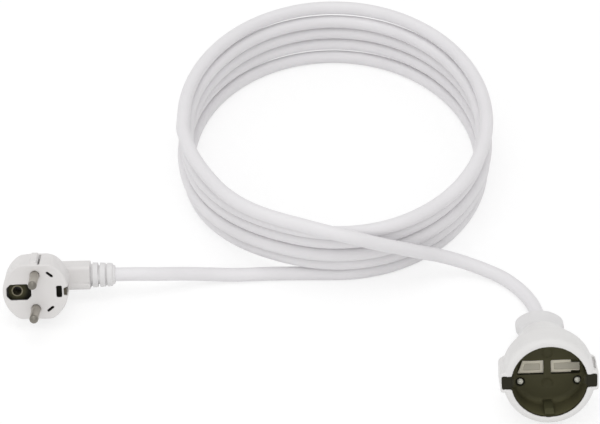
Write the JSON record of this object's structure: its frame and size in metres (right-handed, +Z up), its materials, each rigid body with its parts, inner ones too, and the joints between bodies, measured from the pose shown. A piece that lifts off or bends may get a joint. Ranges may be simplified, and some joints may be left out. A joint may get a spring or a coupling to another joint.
{
  "type": "earthed extension cord",
  "caption": "Coiled mains extension lead with an angled two-pin earthed plug and a tapered in-line socket with a sprung safety shutter.",
  "frame": {"origin": "on the floor, midway between the plug and the coupling", "axes": "+X from the plug towards the coupling, +Y from the coupling's mouth towards the coil, +Z up; the lead lies on the floor"},
  "size_m": [0.3153, 0.3459, 0.0503],
  "materials": {
    "plug_plastic": "semi-gloss white",
    "coupling_plastic": "semi-gloss white",
    "soft_white": "satin soft white",
    "jacket": "satin white jacket",
    "dark_plastic": "matte olive black",
    "shutter_plastic": "satin warm grey",
    "nickel": "nickel plated, satin",
    "dull_nickel": "dull nickel plate",
    "steel": "bright steel",
    "brass": "plain brass",
    "core_brown": "brown insulation",
    "core_blue": "blue insulation",
    "core_green_yellow": "green and yellow insulation"
  },
  "bodies": {
    "lead": {"plug_body": "plug_plastic", "pin_bridge": "dark_plastic", "live_pin": "nickel", "neutral_pin": "nickel", "earth_socket": "brass", "earth_bar": "dull_nickel", "plug_relief": "soft_white", "plug_live_core": "core_brown", "plug_neutral_core": "core_blue", "plug_earth_core": "core_green_yellow", "cord_plug_lead": "jacket", "cord_coil": "jacket", "cord_coupling_lead": "jacket", "coupling_housing": "coupling_plastic", "coupling_relief": "soft_white", "socket_insert": "dark_plastic", "insert_rivets": "steel", "contact_carrier": "dark_plastic", "shutter_spring": "steel", "live_contact": "brass", "neutral_contact": "brass", "earth_bow": "dull_nickel", "coupling_live_core": "core_brown", "coupling_neutral_core": "core_blue", "coupling_earth_core": "core_green_yellow"},
    "shutter": {"shutter": "shutter_plastic"}
  },
  "joints": [
    {"name": "shutter_slide", "type": "slide", "parent": "lead", "child": "shutter", "axis": [-0.032, 0.2677, 0.963], "range_m": [0, 0.0061], "stiffness_N_per_m": 150, "springref_m": -0.004, "deforming": ["shutter_spring"]}
  ]
}
